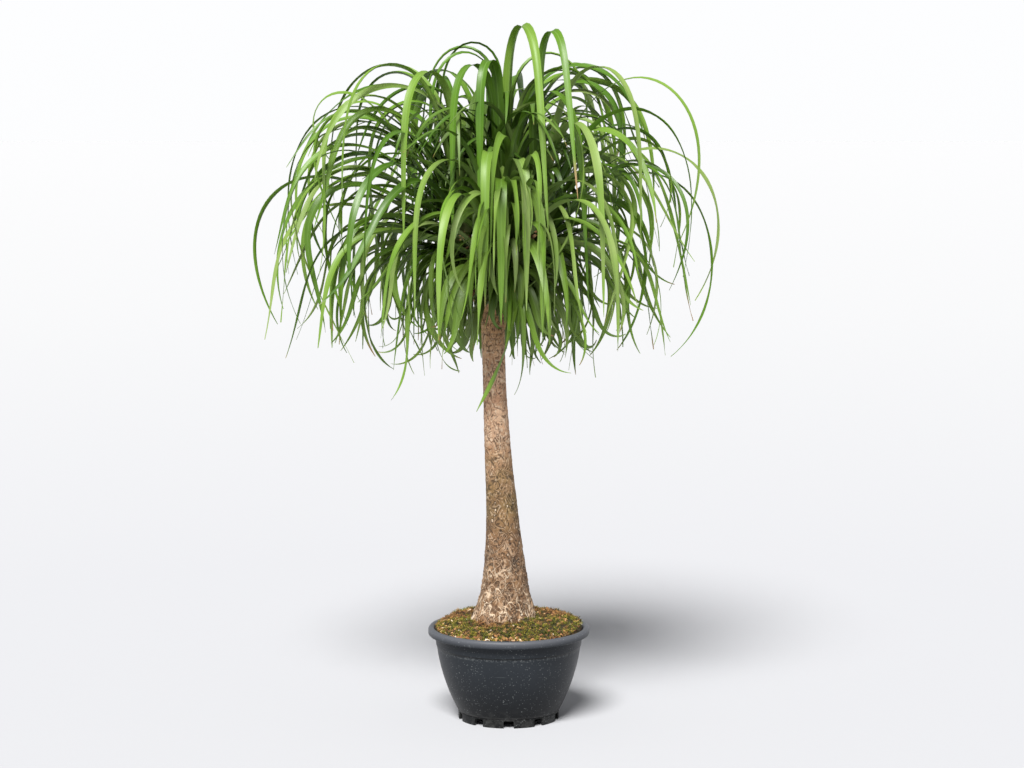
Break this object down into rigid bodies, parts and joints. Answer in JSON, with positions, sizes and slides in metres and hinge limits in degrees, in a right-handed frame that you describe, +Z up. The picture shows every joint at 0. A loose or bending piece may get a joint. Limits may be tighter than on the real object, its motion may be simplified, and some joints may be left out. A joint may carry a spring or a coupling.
{
  "type": "potted ponytail palm",
  "caption": "standing house plant: a tall stem with a swollen foot and a round crown of long arching strap leaves, in a dark plastic bowl of soil topped with moss",
  "frame": {"origin": "the middle of the pot's flat bottom, on the surface it stands on", "axes": "+Z up along the plant's height; -Y is the plant's front; +X is to its right as seen from the front"},
  "size_m": [0.9949, 0.8721, 1.4932],
  "materials": {
    "pot_plastic": "dark blue-grey moulded polypropylene, fine satin grain, lighter worn rim with scuffs",
    "potting_soil": "dark brown peat and bark compost, matt",
    "moss": "olive to yellow-green moss with dry red-brown patches and chips, matt",
    "bark": "tan corky bark, finely cracked, pale flecks, ring scars near the top",
    "leaf": "mid green strap leaf with fine lengthwise veins and a soft waxy sheen"
  },
  "bodies": {
    "root": {"leaf_back_01": "leaf", "leaf_back_02": "leaf", "leaf_back_03": "leaf", "leaf_back_04": "leaf", "leaf_back_05": "leaf", "leaf_back_06": "leaf", "leaf_back_07": "leaf", "leaf_back_08": "leaf", "leaf_back_09": "leaf", "leaf_back_10": "leaf", "leaf_centre_01": "leaf", "leaf_centre_02": "leaf", "leaf_centre_03": "leaf", "leaf_centre_04": "leaf", "leaf_centre_05": "leaf", "leaf_centre_06": "leaf", "leaf_centre_07": "leaf", "leaf_front_01": "leaf", "leaf_front_02": "leaf", "leaf_front_03": "leaf", "leaf_front_04": "leaf", "leaf_front_05": "leaf", "leaf_front_06": "leaf", "leaf_front_07": "leaf", "leaf_front_08": "leaf", "leaf_front_09": "leaf", "leaf_front_10": "leaf", "leaf_left_01": "leaf", "leaf_left_02": "leaf", "leaf_left_03": "leaf", "leaf_left_04": "leaf", "leaf_left_05": "leaf", "leaf_left_06": "leaf", "leaf_left_07": "leaf", "leaf_left_08": "leaf", "leaf_left_09": "leaf", "leaf_left_10": "leaf", "leaf_left_11": "leaf", "leaf_left_12": "leaf", "leaf_left_13": "leaf", "leaf_left_14": "leaf", "leaf_left_15": "leaf", "leaf_right_01": "leaf", "leaf_right_02": "leaf", "leaf_right_03": "leaf", "leaf_right_04": "leaf", "leaf_right_05": "leaf", "leaf_right_06": "leaf", "leaf_right_07": "leaf", "leaf_right_08": "leaf", "leaf_right_09": "leaf", "leaf_right_10": "leaf", "leaf_right_11": "leaf", "leaf_right_12": "leaf", "leaf_right_13": "leaf", "leaf_right_14": "leaf", "moss_top": "moss", "pot": "pot_plastic", "potting_soil": "potting_soil", "trunk": "bark"}
  },
  "joints": []
}
